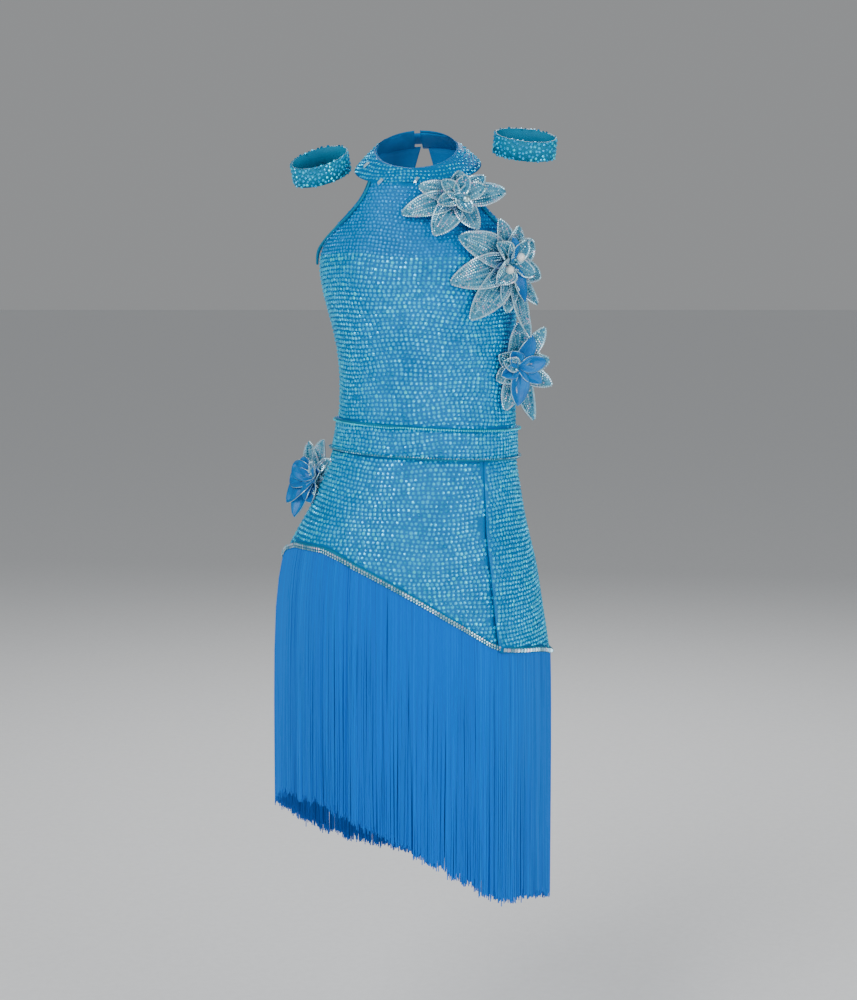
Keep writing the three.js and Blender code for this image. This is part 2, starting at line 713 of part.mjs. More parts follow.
// A petal is a leaf-shaped slab, flat for now, that points from the flower's centre.
function petal([turn, reach, half]) {
  const width = (t) => half * Math.max(0.06, Math.sin(Math.PI * mix(0.16, 0.98, t) ** 1.1));
  return bent(1, petalRows, (u, v, w) => {
    const place = new THREE.Vector2(reach * v, mix(width(v), -width(v), u));
    place.rotateAround(new THREE.Vector2(), degrees(turn));
    return new THREE.Vector3(place.x, place.y, petalThickness * w);
  });
}

// The place on a flower that lies on the form: x across, y up and height outwards from its centre.
// Petals lift from the cloth by curl at a reach of 60 mm, and by the flare where the form turns away.
const curlReach = 60;
function onFlower({ angle, z, curl, flare }, x, y, height) {
  const girth = smooth(body, "z", "half", z);
  const lift = curl * (Math.hypot(x, y) / curlReach) ** 2 + flare * (Math.max(0, x) / curlReach) ** 2;
  return onForm(body, angle + x / girth, z + y, height + lift);
}

// A flower has a disc that is sewn to the dress, a ring of petals, and stones or pearls at its centre.
// Each petal has the way it points, in degrees, its reach and its half width.
function flower(name, place, disc, leaves, centres) {
  const discTop = fabric + layerGap + discThickness;
  add(`${name}_backing`, layingDisc(place.angle, place.z, disc, discTop, discDepth), plainCloth());
  const hub = new THREE.CylinderGeometry(disc, disc, petalThickness, 12, 1).rotateX(Math.PI / 2);
  hub.translate(0, 0, petalThickness / 2);
  const whole = joined(hub, ...leaves.map(petal));
  const points = whole.attributes.position;
  for (let i = 0; i < points.count; i++) {
    const height = discTop + layerGap + points.getZ(i);
    const p = onFlower(place, points.getX(i), points.getY(i), height);
    points.setXYZ(i, p.x, p.y, p.z);
  }
  whole.computeVertexNormals();
  add(`${name}_petals`, whole, petalFinish());
  centres.forEach(([part, x, y, radius, finish]) => {
    const height = discTop + 2 * layerGap + petalThickness + radius;
    const p = onFlower(place, x, y, height);
    add(`${name}_${part}`, new THREE.SphereGeometry(radius, 12, 6).translate(p.x, p.y, p.z), finish);
  });
}

const collarLeaves = [[8, 60, 13], [32, 42, 10], [82, 32, 11], [163, 44, 11], [194, 62, 13], [234, 58, 14],
  [292, 40, 13]];
const collarFlower = { angle: degrees(33), z: 285, curl: 10, flare: 4 };
flower("collar_flower", collarFlower, 13, collarLeaves, [["centre", 0, 0, 7, stones()]]);

const chestLeaves = [[28, 54, 15], [62, 44, 14], [112, 52, 14], [158, 74, 17], [196, 84, 19], [222, 90, 17],
  [252, 62, 15], [275, 90, 15], [304, 60, 14], [344, 52, 14]];
const chestFlower = { angle: degrees(58), z: 210, curl: 8, flare: 60 };
const chestPearls = [["pearl_left", 10, 8, 5.5, pearl()], ["pearl_right", -10, -7, 5.5, pearl()]];
flower("chest_flower", chestFlower, 17, chestLeaves, chestPearls);

const sideLeaves = [[14, 36, 12], [60, 54, 12], [98, 58, 12], [146, 40, 11], [200, 40, 11], [250, 56, 12],
  [284, 64, 11], [330, 42, 12]];
flower("side_flower", { angle: degrees(84), z: 90, curl: 30, flare: 8 }, 12, sideLeaves, []);

const hipLeaves = [[20, 36, 12], [70, 44, 12], [120, 44, 12], [168, 38, 12], [215, 42, 12], [262, 50, 12],
  [315, 40, 12]];
flower("hip_flower", { angle: degrees(-108), z: -58, curl: 32, flare: 0 }, 12, hipLeaves, []);

// ---------------------------------------------------------------- cuffs

// A cuff is a flattened ring, closed by its own stretch. The pair rests where a wearer's shoulders are.
function cuff(name, x, y, z, roll, turn) {
  const outer = new THREE.Shape().absellipse(0, 0, cuffHalfLong, cuffHalfShort, 0, 2 * Math.PI);
  const [a, b] = [cuffHalfLong - cuffShell, cuffHalfShort - cuffShell];
  outer.holes.push(new THREE.Path().absellipse(0, 0, a, b, 0, 2 * Math.PI, true));
  const ring = new THREE.ExtrudeGeometry(outer, { depth: cuffWidth, curveSegments: 18, bevelEnabled: false });
  const mesh = add(name, ring.translate(0, 0, -cuffWidth / 2), stonedCloth());
  mesh.position.set(x, y, z);
  mesh.rotation.set(0, roll, turn, "ZYX");
}
cuff("wrist_cuff_right", -128, 10, 326, degrees(-10), degrees(35));
cuff("wrist_cuff_left", 118, 10, 352, degrees(5), degrees(-6));

export default dress;
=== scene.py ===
"""A fringed dance dress on a leotard base: stoned bodice, belt, diagonal skirt, fringe, flowers and cuffs."""

import math
import random

import bmesh
import bpy
import numpy as np
from mathutils import Matrix, Vector
from mathutils.bvhtree import BVHTree


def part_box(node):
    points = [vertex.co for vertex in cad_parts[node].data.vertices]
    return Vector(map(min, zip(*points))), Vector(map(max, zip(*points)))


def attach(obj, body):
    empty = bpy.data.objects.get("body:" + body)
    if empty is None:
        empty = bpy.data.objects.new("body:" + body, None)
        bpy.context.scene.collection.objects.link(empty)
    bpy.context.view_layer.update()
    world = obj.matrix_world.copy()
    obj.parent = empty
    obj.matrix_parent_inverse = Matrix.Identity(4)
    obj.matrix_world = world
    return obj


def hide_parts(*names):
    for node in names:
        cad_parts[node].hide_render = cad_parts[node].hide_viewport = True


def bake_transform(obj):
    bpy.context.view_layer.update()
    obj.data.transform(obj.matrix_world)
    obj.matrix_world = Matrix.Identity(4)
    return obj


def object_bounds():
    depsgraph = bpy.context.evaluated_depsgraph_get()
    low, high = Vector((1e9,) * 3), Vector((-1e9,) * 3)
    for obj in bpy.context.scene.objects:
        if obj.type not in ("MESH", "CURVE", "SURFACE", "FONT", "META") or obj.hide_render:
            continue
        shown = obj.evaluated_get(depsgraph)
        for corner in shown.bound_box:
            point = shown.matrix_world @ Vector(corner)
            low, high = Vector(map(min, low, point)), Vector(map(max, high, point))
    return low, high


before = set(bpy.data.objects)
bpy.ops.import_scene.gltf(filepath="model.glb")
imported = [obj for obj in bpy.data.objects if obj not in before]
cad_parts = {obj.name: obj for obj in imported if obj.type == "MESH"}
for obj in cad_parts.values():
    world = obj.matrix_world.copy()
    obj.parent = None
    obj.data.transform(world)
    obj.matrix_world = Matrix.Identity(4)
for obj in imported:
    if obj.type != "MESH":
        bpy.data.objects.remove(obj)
cad_box = [list(corner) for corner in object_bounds()]
mm = 0.001
chance = random.Random(7)

# ------------------------------------------------------------------ camera, light and floor

EYE = Vector((0.002, -2.5, 0.24))
AIM = Vector((0.002, 0.0, -0.078))
LENS = 74.0
FLOOR_DROP = 0.30  # from the longest strands down to the floor
FLOOR_SIZE = 30
FAR_CLIP = 120
SOFTBOXES = (  # name, place, aimed at, size, watts
    ("key_light", (-1.3, -2.4, 1.9), (0, 0, 0), (1.2, 1.6), 62),
    ("fill_light", (1.9, -1.9, 0.6), (0, 0, -0.1), (1.4, 1.8), 28),
    ("rim_light", (0.3, 2.4, 1.8), (0, 0, 0), (1.8, 1.2), 50),
    ("low_light", (0.0, -2.6, -0.5), (0, 0, -0.2), (1.6, 0.7), 12),
)


def look(thing, at):
    thing.rotation_euler = (at - thing.location).to_track_quat("-Z", "Y").to_euler()


def camera():
    data = bpy.data.cameras.new("camera")
    data.lens = LENS
    data.clip_end = FAR_CLIP
    eye = bpy.data.objects.new("camera", data)
    eye.location = EYE
    bpy.context.scene.collection.objects.link(eye)
    look(eye, AIM)
    bpy.context.scene.camera = eye


camera()


def softbox(name, place, at, size, watts):
    data = bpy.data.lights.new(name, "AREA")
    data.shape = "RECTANGLE"
    data.size, data.size_y = size
    data.energy = watts
    lamp = bpy.data.objects.new(name, data)
    lamp.location = place
    bpy.context.scene.collection.objects.link(lamp)
    look(lamp, Vector(at))


def studio():
    """The lamps, the air and the floor, all kept out of the object."""
    for lamp in SOFTBOXES:
        softbox(*lamp)
    world = bpy.data.worlds.new("studio_air")
    world.use_nodes = True
    world.node_tree.nodes["Background"].inputs["Color"].default_value = (0.86, 0.88, 0.9, 1)
    world.node_tree.nodes["Background"].inputs["Strength"].default_value = 0.34
    bpy.context.scene.world = world
    bm = bmesh.new()
    bmesh.ops.create_grid(bm, x_segments=1, y_segments=1, size=FLOOR_SIZE)
    bmesh.ops.translate(bm, verts=bm.verts, vec=(0, 0, cad_box[0][2] - FLOOR_DROP))
    floor = made("studio_floor", bm, [paper()])


# ------------------------------------------------------------------ finishes


def shade(name):
    mat = bpy.data.materials.new(name)
    mat.use_nodes = True
    tree = mat.node_tree
    return mat, tree, tree.nodes["Principled BSDF"]


def node(tree, kind, **settings):
    """A new shader node; a setting is an input's value if the node has such an input, else an attribute."""
    new = tree.nodes.new(kind)
    for key, value in settings.items():
        if key in new.inputs:
            new.inputs[key].default_value = value
        else:
            setattr(new, key, value)
    return new


def place_on(tree, scale=(1, 1, 1)):
    """The piece's own coordinates, stretched for a pattern."""
    coords = node(tree, "ShaderNodeTexCoord")
    mapping = node(tree, "ShaderNodeMapping")
    mapping.inputs["Scale"].default_value = scale
    tree.links.new(coords.outputs["Object"], mapping.inputs["Vector"])
    return mapping.outputs["Vector"]


def ramp(tree, source, stops):
    new = node(tree, "ShaderNodeValToRGB")
    bands = new.color_ramp.elements
    while len(bands) < len(stops):
        bands.new(0.5)
    for band, (at, color) in zip(bands, stops):
        band.position = at
        band.color = (*color, 1)
    tree.links.new(source, new.inputs["Fac"])
    return new.outputs["Color"]


def bump(tree, shader, height, distance, strength=1.0):
    new = node(tree, "ShaderNodeBump", Strength=strength, Distance=distance)
    tree.links.new(height, new.inputs["Height"])
    tree.links.new(new.outputs["Normal"], shader.inputs["Normal"])


def paper():
    mat, tree, shader = shade("studio_paper")
    grain = node(tree, "ShaderNodeTexNoise", Scale=90.0, Detail=4.0)
    tree.links.new(place_on(tree), grain.inputs["Vector"])
    tint = ramp(tree, grain.outputs["Fac"], [(0.3, (0.86, 0.87, 0.88)), (0.7, (0.9, 0.91, 0.92))])
    tree.links.new(tint, shader.inputs["Base Color"])
    shader.inputs["Roughness"].default_value = 0.9
    return mat


def stretch_cloth(name, dark, light, gloss=0.45, rib=900.0):
    """Knitted stretch cloth: fine ribs that run up the piece, broken by a soft mottling."""
    mat, tree, shader = shade(name)
    ribs = node(tree, "ShaderNodeTexWave", wave_type="BANDS", bands_direction="X", Scale=rib, Distortion=1.5)
    tree.links.new(place_on(tree, (1, 1, 0.2)), ribs.inputs["Vector"])
    courses = node(
        tree, "ShaderNodeTexWave", wave_type="BANDS", bands_direction="Z", Scale=rib * 0.8, Distortion=1.0
    )
    tree.links.new(place_on(tree, (0.2, 0.2, 1)), courses.inputs["Vector"])
    mottle = node(tree, "ShaderNodeTexNoise", Scale=26.0, Detail=5.0)
    tree.links.new(place_on(tree), mottle.inputs["Vector"])
    knit = node(tree, "ShaderNodeMath", operation="MULTIPLY")
    tree.links.new(ribs.outputs["Fac"], knit.inputs[0])
    tree.links.new(courses.outputs["Fac"], knit.inputs[1])
    tint = ramp(tree, mottle.outputs["Fac"], [(0.3, dark), (0.72, light)])
    tree.links.new(tint, shader.inputs["Base Color"])
    shader.inputs["Roughness"].default_value = gloss
    shader.inputs["Specular IOR Level"].default_value = 0.15
    bump(tree, shader, knit.outputs["Value"], 0.00012, 0.6)
    return mat


def cut_stone(name, colors, gloss=0.16, metal=0.8):
    """Foil-backed stones; each stone has its own tint from a per-stone attribute on the piece, running from
    the stones' own colour to, for the blue and silver stones, painted glints at the bright end of the ramp.
    """
    mat, tree, shader = shade(name)
    tint = node(tree, "ShaderNodeAttribute", attribute_name="stone_tone_and_glint")
    stops = [(i / (len(colors) - 1), color) for i, color in enumerate(colors)]
    tree.links.new(ramp(tree, tint.outputs["Fac"], stops), shader.inputs["Base Color"])
    shader.inputs["Roughness"].default_value = gloss
    shader.inputs["Metallic"].default_value = metal
    shader.inputs["Specular IOR Level"].default_value = 0.3
    shader.inputs["Coat Weight"].default_value = 0.08
    shader.inputs["Coat Roughness"].default_value = 0.05
    return mat


def satin(name, dark, light):
    """Petal satin: a smooth sheen with fine crosswise threads."""
    mat, tree, shader = shade(name)
    thread = node(
        tree, "ShaderNodeTexWave", wave_type="BANDS", bands_direction="DIAGONAL", Scale=700.0
    )
    tree.links.new(place_on(tree), thread.inputs["Vector"])
    cloud = node(tree, "ShaderNodeTexNoise", Scale=45.0, Detail=3.0)
    tree.links.new(place_on(tree), cloud.inputs["Vector"])
    tint = ramp(tree, cloud.outputs["Fac"], [(0.35, dark), (0.7, light)])
    tree.links.new(tint, shader.inputs["Base Color"])
    shader.inputs["Roughness"].default_value = 0.38
    shader.inputs["Sheen Weight"].default_value = 0.08
    shader.inputs["Specular IOR Level"].default_value = 0.3
    shader.inputs["Anisotropic"].default_value = 0.4
    bump(tree, shader, thread.outputs["Fac"], 0.00006, 0.5)
    return mat


def yarn_finish():
    """Chainette yarn: smooth and slightly shiny, each strand a touch lighter or darker; the inner layers of
    strands are made darker as painted shade.
    """
    mat, tree, shader = shade("chainette_yarn")
    tint = node(tree, "ShaderNodeAttribute", attribute_name="strand_tone_and_shade")
    stops = [(0.0, (0.0, 0.08, 0.38)), (0.45, (0.0, 0.16, 0.66)), (1.0, (0.0, 0.21, 0.8))]
    tree.links.new(ramp(tree, tint.outputs["Fac"], stops), shader.inputs["Base Color"])
    twist = node(
        tree, "ShaderNodeTexWave", wave_type="BANDS", bands_direction="Z", Scale=420.0, Distortion=2.0
    )
    tree.links.new(place_on(tree), twist.inputs["Vector"])
    shader.inputs["Roughness"].default_value = 0.42
    shader.inputs["Specular IOR Level"].default_value = 0.12
    bump(tree, shader, twist.outputs["Fac"], 0.00015, 0.5)
    return mat


def pearl_finish():
    mat, tree, shader = shade("round_pearl")
    cloud = node(tree, "ShaderNodeTexNoise", Scale=120.0, Detail=2.0)
    tree.links.new(place_on(tree), cloud.inputs["Vector"])
    tint = ramp(tree, cloud.outputs["Fac"], [(0.3, (0.78, 0.9, 0.93)), (0.7, (0.95, 0.97, 0.93))])
    tree.links.new(tint, shader.inputs["Base Color"])
    shader.inputs["Roughness"].default_value = 0.14
    shader.inputs["Coat Weight"].default_value = 1.0
    shader.inputs["Coat Roughness"].default_value = 0.03
    return mat


def plated(name, color, gloss):
    mat, tree, shader = shade(name)
    wear = node(tree, "ShaderNodeTexNoise", Scale=800.0, Detail=3.0)
    tree.links.new(place_on(tree), wear.inputs["Vector"])
    worn = tuple(0.8 * c for c in color)
    tint = ramp(tree, wear.outputs["Fac"], [(0.3, worn), (0.6, color)])
    tree.links.new(tint, shader.inputs["Base Color"])
    shader.inputs["Metallic"].default_value = 1.0
    shader.inputs["Roughness"].default_value = gloss
    return mat


STONED_BASE = stretch_cloth("stoned_cloth_base", (0.0, 0.15, 0.42), (0.0, 0.21, 0.56))
BINDING = stretch_cloth("edge_binding", (0.0, 0.16, 0.3), (0.0, 0.24, 0.42))
LINING = stretch_cloth("lining_mesh", (0.0, 0.15, 0.42), (0.0, 0.2, 0.52), 0.6, 1400.0)
TAPE = stretch_cloth("woven_tape", (0.0, 0.12, 0.4), (0.0, 0.17, 0.5), 0.7, 500.0)
CUP_KNIT = stretch_cloth("cup_knit", (0.01, 0.2, 0.5), (0.015, 0.26, 0.58), 0.75, 1200.0)
SATIN = satin("petal_satin", (0.0, 0.14, 0.46), (0.0, 0.22, 0.62))
# The stones' own blues; the brightest stops stand in for glints, painted into the stones' colour.
BLUE_STONES = cut_stone(
    "blue_stones",
    [(0.0, 0.34, 0.66), (0.0, 0.48, 0.84), (0.0, 0.64, 1.0), (0.0, 0.82, 1.0)],
    0.24,
    0.35,
)
FINE_STONES = cut_stone(
    "fine_blue_stones",
    [(0.0, 0.26, 0.6), (0.0, 0.33, 0.74), (0.0, 0.4, 0.86)],
    0.42,
    0.3,
)
# Silver stones from dark to pale; the last two stops, pink and green, are painted glints, the colour flashes
# of cut crystal.
SILVER_STONES = cut_stone(
    "silver_stones",
    [(0.01, 0.17, 0.3), (0.18, 0.48, 0.64), (0.5, 0.82, 0.95), (0.85, 0.6, 0.8), (0.45, 0.95, 0.85)],
    0.14,
    0.55,
)
PETAL_BASE = satin("petal_face", (0.02, 0.22, 0.38), (0.1, 0.36, 0.5))
PETAL_EDGE = plated("petal_edge_wire", (0.45, 0.72, 0.8), 0.35)
YARN = yarn_finish()
PEARL = pearl_finish()
NICKEL = plated("nickel_plate", (0.72, 0.74, 0.77), 0.2)

# ------------------------------------------------------------------ making pieces


def made(name, bm, finishes, smooth=False):
    """A piece in the scene from a bmesh, which is used up."""
    mesh = bpy.data.meshes.new(name)
    for face in bm.faces:
        face.smooth = smooth
    bm.to_mesh(mesh)
    bm.free()
    piece = bpy.data.objects.new(name, mesh)
    bpy.context.scene.collection.objects.link(piece)
    for finish in finishes:
        mesh.materials.append(finish)
    return piece


def cad_mesh(name):
    """A welded copy of a CAD node's mesh, with its triangles paired back into quads."""
    bm = bmesh.new()
    bm.from_mesh(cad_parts[name].data)
    bm.transform(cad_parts[name].matrix_world)
    bmesh.ops.remove_doubles(bm, verts=bm.verts, dist=1e-6)
    bmesh.ops.join_triangles(bm, faces=bm.faces, angle_face_threshold=0.6, angle_shape_threshold=2.0)
    return bm


SEAM_ANGLE = math.radians(50)


def panel(node_name, name, finish, levels=2, body="dress", shape=None):
    """A sewn panel: the node's shell with its facets rounded and its cut edges kept crisp."""
    bm = cad_mesh(node_name)
    crease = bm.edges.layers.float.new("crease_edge")
    for edge in bm.edges:
        if len(edge.link_faces) == 2 and edge.calc_face_angle(0) > SEAM_ANGLE:
            edge[crease] = 1.0
    if shape:
        for vert in bm.verts:
            vert.co = shape(vert.co)
    piece = made(name, bm, [finish], smooth=True)
    subsurf = piece.modifiers.new("rounded", "SUBSURF")
    subsurf.levels = subsurf.render_levels = levels
    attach(piece, body)
    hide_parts(node_name)
    return piece


def surface_of(*pieces):
    """The finished surface of some pieces, for setting stones on."""
    depsgraph = bpy.context.evaluated_depsgraph_get()
    points, faces = [], []
    for piece in pieces:
        shaped = piece.evaluated_get(depsgraph).to_mesh()
        start = len(points)
        points += [v.co.copy() for v in shaped.vertices]
        faces += [[start + i for i in face.vertices] for face in shaped.polygons]
        piece.evaluated_get(depsgraph).to_mesh_clear()
    return BVHTree.FromPolygons(points, faces)


def gem(sides, rise, table):
    """One cut stone of radius 1: a girdle and a smaller flat table."""
    bm = bmesh.new()
    bmesh.ops.create_cone(bm, cap_ends=True, segments=sides, radius1=1, radius2=table, depth=rise)
    bmesh.ops.translate(bm, verts=bm.verts, vec=(0, 0, rise / 2))
    if sides == 4:
        bmesh.ops.rotate(bm, verts=bm.verts, cent=(0, 0, 0), matrix=Matrix.Rotation(math.pi / 4, 3, "Z"))
    under = [f for f in bm.faces if f.normal.z < -0.9]
    bmesh.ops.delete(bm, geom=under, context="FACES_ONLY")
    shape = bpy.data.meshes.new("gem")
    bm.to_mesh(shape)
    bm.free()
    return shape


def scattered(name, seats, shape, finish, body="dress"):
    """One piece made of many copies of a small shape; a seat is (place, tint)."""
    count, points = len(seats), len(shape.vertices)
    flat = np.empty(points * 3)
    shape.vertices.foreach_get("co", flat)
    corners = np.c_[flat.reshape(-1, 3), np.ones(points)]
    places = np.array([np.array(place)[:3] for place, _ in seats])
    everywhere = np.einsum("nij,pj->npi", places, corners).reshape(-1, 3)
    faces = []
    polygons = [list(p.vertices) for p in shape.polygons]
    for k in range(count):
        faces += [[k * points + i for i in polygon] for polygon in polygons]
    mesh = bpy.data.meshes.new(name)
    mesh.from_pydata(everywhere, [], faces)
    tint = mesh.attributes.new("stone_tone_and_glint", "FLOAT", "POINT")
    tint.data.foreach_set("value", np.repeat([t for _, t in seats], points))
    mesh.materials.append(finish)
    piece = bpy.data.objects.new(name, mesh)
    bpy.context.scene.collection.objects.link(piece)
    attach(piece, body)
    return piece


def seat(point, normal, along, size, lift=0.0):
    """A stone's place: flat on the cloth, its x along a direction, of a size."""
    up = normal.normalized()
    side = (along - up * along.dot(up)).normalized()
    turn = Matrix((side, up.cross(side), up)).transposed().to_4x4()
    return Matrix.Translation(point + up * lift) @ turn @ Matrix.Diagonal((*size, 1))


def middle_of(node_name):
    low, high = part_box(node_name)
    return (Vector(low) + Vector(high)) / 2


def clamped(share):
    return min(1.0, max(0.0, share))


# ------------------------------------------------------------------ lines round the dress, read from the CAD

AXIS = Vector((-0.008, 0.0, 0.0))  # the body's middle line, a little to the right of the frame's
LINE_MARKS = 720


def bearing(point):
    """The way round from the front, in radians, towards the wearer's left."""
    return math.atan2(point.x - AXIS.x, AXIS.y - point.y)


def outwards(around):
    """The level direction away from the body's middle at a bearing."""
    return Vector((math.sin(around), -math.cos(around), 0))


class RingLine:
    """The lowest or highest outer edge of a node that runs round the body, found by its bearing."""

    def __init__(self, name, highest):
        bm = cad_mesh(name)
        found = {}
        for vert in bm.verts:
            found.setdefault(round(bearing(vert.co), 1), []).append(vert.co.copy())
        bm.free()
        edge = []
        for group in found.values():
            wanted = (max if highest else min)(p.z for p in group)
            level = [p for p in group if abs(p.z - wanted) < 3 * mm]
            edge.append(max(level, key=lambda p: (p - AXIS).xy.length))
        edge.sort(key=bearing)
        self.keys = np.array([bearing(p) for p in edge])
        self.points = np.array([tuple(p) for p in edge])

    def at(self, around):
        turned = (around + math.pi) % (2 * math.pi) - math.pi
        columns = (self.points[:, i] for i in range(3))
        return Vector([float(np.interp(turned, self.keys, column, period=2 * math.pi)) for column in columns])

    def along(self, pitch):
        """Evenly spaced points on the line, each with the line's direction."""
        marks = [self.at(-math.pi + 2 * math.pi * i / LINE_MARKS) for i in range(LINE_MARKS + 1)]
        walked, out = 0.0, []
        for a, b in zip(marks, marks[1:]):
            step = (b - a).length
            while walked < step:
                out.append((a.lerp(b, walked / step), (b - a).normalized()))
                walked += pitch
            walked -= step
        return out


hem_low, hem_high = RingLine("hem_trim", False), RingLine("hem_trim", True)
belt_low, belt_high = RingLine("belt_piping_lower", False), RingLine("belt_piping_upper", True)

drape = cad_mesh("skirt_side_drape")
fold_marks = {}
for vert in drape.verts:
    fold_marks.setdefault(round(vert.co.z, 2), []).append(bearing(vert.co))
drape.free()
fold_heights = sorted(fold_marks)
fold_bearings = [min(fold_marks[height]) for height in fold_heights]


def fold_at(z):
    """The bearing of the side drape's front edge at a height."""
    return float(np.interp(z, fold_heights, fold_bearings))


# ------------------------------------------------------------------ cloth panels

FOLD_LIP = 3 * mm
FOLD_VALLEY = 2 * mm
FOLD_LAP = 6 * mm
FOLD_SPAN = 0.11  # how far round the fold reaches, in radians
FOLD_TOP = -0.02  # the height where the fold begins
FOLD_DEEPENS = 0.12  # and the drop over which it grows to its full depth
COLLAR_LAP = 3 * mm
CUFF_TIP = 0.34
ARM_PIT = 0.225
BINDING_REACH = 0.03
BINDING_DRAW = 1.8 * mm


def fold_depth(point):
    return clamped((FOLD_TOP - point.z) / FOLD_DEEPENS)


def fold_out(point):
    """The drape rolls out over the front panel at its edge, more towards the hem."""
    away = max(0.0, bearing(point) - fold_at(point.z)) / FOLD_SPAN
    lap = outwards(bearing(point)) * FOLD_LIP + outwards(bearing(point) - math.pi / 2) * FOLD_LAP
    return point + lap * fold_depth(point) * math.exp(-away * away)


def fold_in(point):
    """The front panel dips in behind the drape's edge."""
    away = max(0.0, fold_at(point.z) - bearing(point)) / FOLD_SPAN
    return point - outwards(bearing(point)) * FOLD_VALLEY * fold_depth(point) * math.exp(-away * away)


collar_foot = RingLine("collar_band", False)


def lap_down(point):
    """The collar's lower edge laps a little way down over the bodice's top."""
    foot = collar_foot.at(bearing(point))
    if point.z > foot.z + COLLAR_LAP:
        return point
    return point + outwards(bearing(point)) * mm - Vector((0, 0, COLLAR_LAP))


def tipped(side):
    """A cuff lies with its front edge tipped down."""
    centre = middle_of(f"wrist_cuff_{side}")
    turn = Matrix.Rotation(CUFF_TIP, 3, "X")
    return lambda point: centre + turn @ (point - centre)


def drawn_in(point):
    """The binding draws in against the cloth under the arm."""
    share = clamped((ARM_PIT - point.z) / BINDING_REACH)
    return point - outwards(bearing(point)) * BINDING_DRAW * share


front = panel("bodice_front", "stoned_bodice_front", STONED_BASE)
back_left = panel("bodice_back_left", "stoned_back_left", STONED_BASE)
back_right = panel("bodice_back_right", "stoned_back_right", STONED_BASE)
bodice_lining = panel("bodice_lining", "front_lining", LINING)
collar = panel("collar_band", "stoned_collar", STONED_BASE, shape=lap_down)
collar_lining = panel("collar_lining", "collar_inside", LINING)
belt = panel("belt_band", "stoned_belt", STONED_BASE)
skirt_front = panel("skirt_front", "skirt_front_panel", STONED_BASE, shape=fold_in)
skirt_drape = panel("skirt_side_drape", "skirt_drape_panel", STONED_BASE, shape=fold_out)
skirt_back = panel("skirt_back", "skirt_back_panel", STONED_BASE)
brief_front = panel("brief_front", "brief_front_panel", LINING)
brief_back = panel("brief_back", "brief_back_panel", LINING)
gusset = panel("gusset", "gusset_lining", LINING, levels=1)

for side in ("left", "right"):
    panel(f"armhole_binding_{side}", f"armhole_edge_{side}", BINDING, 1, shape=drawn_in)
    panel(f"leg_elastic_{side}", f"leg_band_{side}", TAPE, levels=1)
    cup = panel(f"bust_cup_{side}", f"moulded_cup_{side}", CUP_KNIT, levels=2)
panel("waist_elastic", "waist_band_elastic", TAPE, levels=1)
panel("fringe_header", "knitted_header", TAPE, levels=1)
panel("hem_trim", "hem_chain_bed", BINDING, levels=1)
panel("belt_piping_upper", "belt_edge_upper", BINDING, levels=1)
panel("belt_piping_lower", "belt_edge_lower", BINDING, levels=1)
panel("collar_tab", "collar_lap", STONED_BASE, levels=1, body="collar_tab")
panel("belt_tab", "belt_lap", STONED_BASE, levels=1, body="belt_tab")
cuffs = {}
for side in ("left", "right"):
    band, padding = f"wrist_cuff_{side}", f"cuff_padding_{side}"
    cuffs[side] = panel(band, padding, BINDING, 1, f"cuff_{side}", shape=tipped(side))

for name, finish in (
    ("zip_tape_left", TAPE),
    ("zip_tape_right", TAPE),
    ("zip_coil", TAPE),
    ("zip_slider", NICKEL),
    ("zip_pull", NICKEL),
    ("collar_stud", NICKEL),
    ("collar_socket", NICKEL),
    ("belt_stud", NICKEL),
    ("belt_socket", NICKEL),
):
    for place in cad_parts[name].material_slots:
        place.material = finish

# ------------------------------------------------------------------ stones in rows

HEX = gem(6, 0.5, 0.55)
SQUARE = gem(4, 0.6, 0.6)
COVER_PITCH = 5.7 * mm
COVER_SIZE = 2.5 * mm
FINE_PITCH = 5.0 * mm
FINE_SIZE = 2.15 * mm
COLLAR_PITCH = 4.6 * mm
COLLAR_SIZE = 1.9 * mm
ROW_SHARE = 0.87  # rows lie closer than the stones in a row, as in a close packing
ROW_OFFSET = 0.22  # the radius that the half step of every other row is worked out for
CHEST_LINE = 0.222  # finer stones above this height
EDGE_GAP = 1.5 * mm
HEM_GAP = 1 * mm
REACH = 0.4  # farther out than any cloth
USUAL_REACH = 0.11  # the body's radius at most heights
IN_FRONT, LOOK_THROUGH = 0.5, 0.6
FLUSH = 4 * mm


def radial_hit(tree, around, z):
    """The outermost cloth at a bearing and height, with its outward normal."""
    out = outwards(around)
    start = Vector((AXIS.x, AXIS.y, z)) + out * REACH
    point, normal, _, _ = tree.ray_cast(start, -out, REACH)
    if point is None:
        return None
    return (point, normal if normal.dot(out) > 0 else -normal)


def row_wave(around, z):
    """Rows laid by hand rise and fall a little on their way round."""
    return (2.4 * math.sin(2.3 * around + 17 * z) + 1.4 * math.sin(5.1 * around - 31 * z)) * mm


